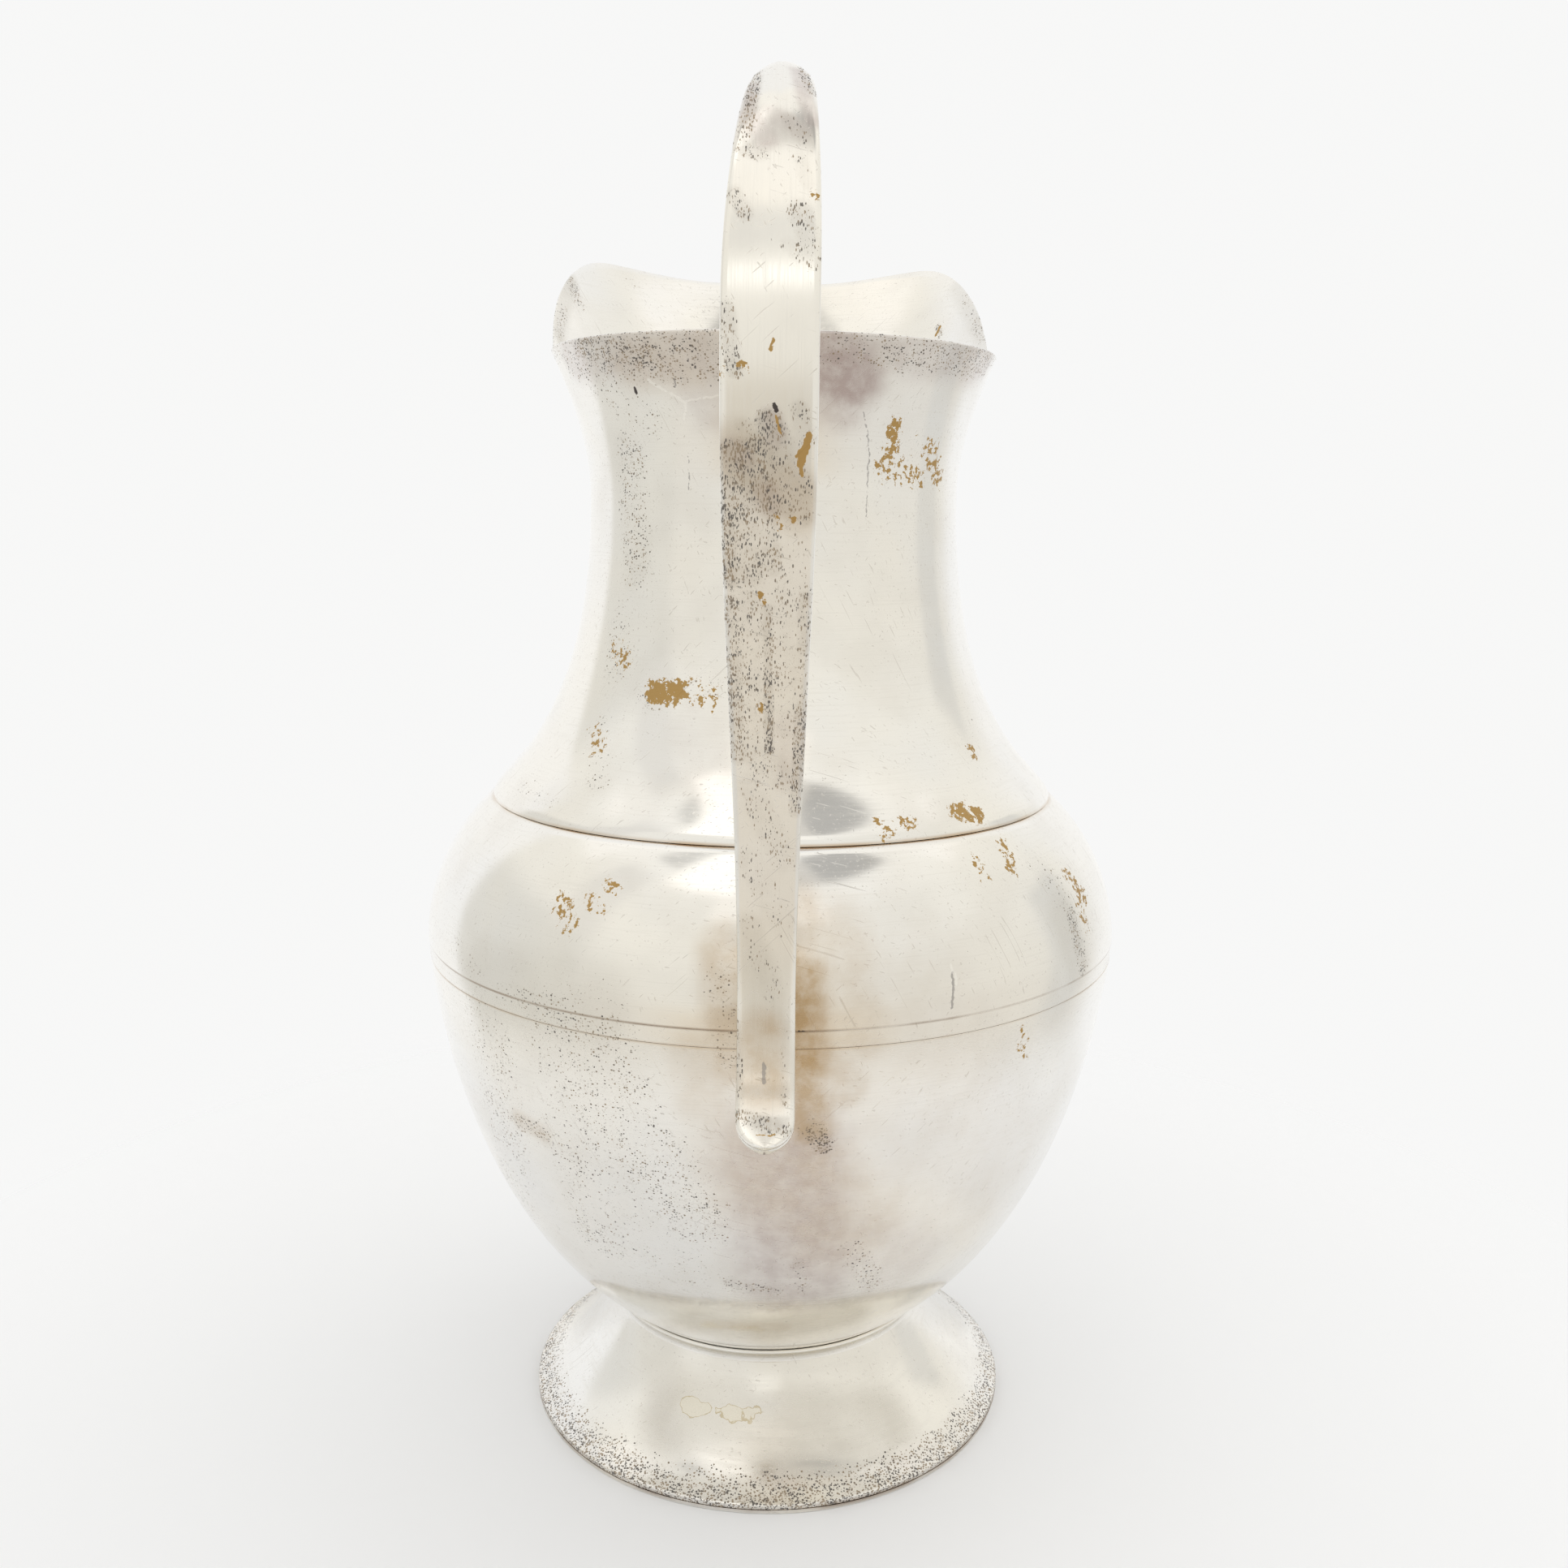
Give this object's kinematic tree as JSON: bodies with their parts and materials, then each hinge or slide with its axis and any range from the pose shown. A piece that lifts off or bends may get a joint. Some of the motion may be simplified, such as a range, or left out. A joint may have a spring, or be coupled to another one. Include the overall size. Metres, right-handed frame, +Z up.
{
  "type": "ewer",
  "caption": "Footed silver-plated metal ewer with a round belly, flared neck, raised pouring lip and a high looped strap handle, for serving water or wine.",
  "frame": {"origin": "centre of the flat ring that the ewer stands on, on the table", "axes": "+Z up along the body's axis, +Y towards the pouring lip, the handle at -Y, +X to the right seen from the handle"},
  "size_m": [0.1652, 0.1856, 0.2972],
  "materials": {
    "body_silver": "worn silver plate, satin",
    "foot_silver": "worn silver plate, tarnished at the rim",
    "band_silver": "worn silver plate, darker in its seams",
    "handle_silver": "worn silver plate, scratched and speckled"
  },
  "bodies": {
    "root": {"base_ring": "foot_silver", "foot": "foot_silver", "bowl": "body_silver", "girdle_band": "band_silver", "shoulder": "body_silver", "neck": "body_silver", "handle_face": "handle_silver", "handle_back": "handle_silver"}
  },
  "joints": []
}
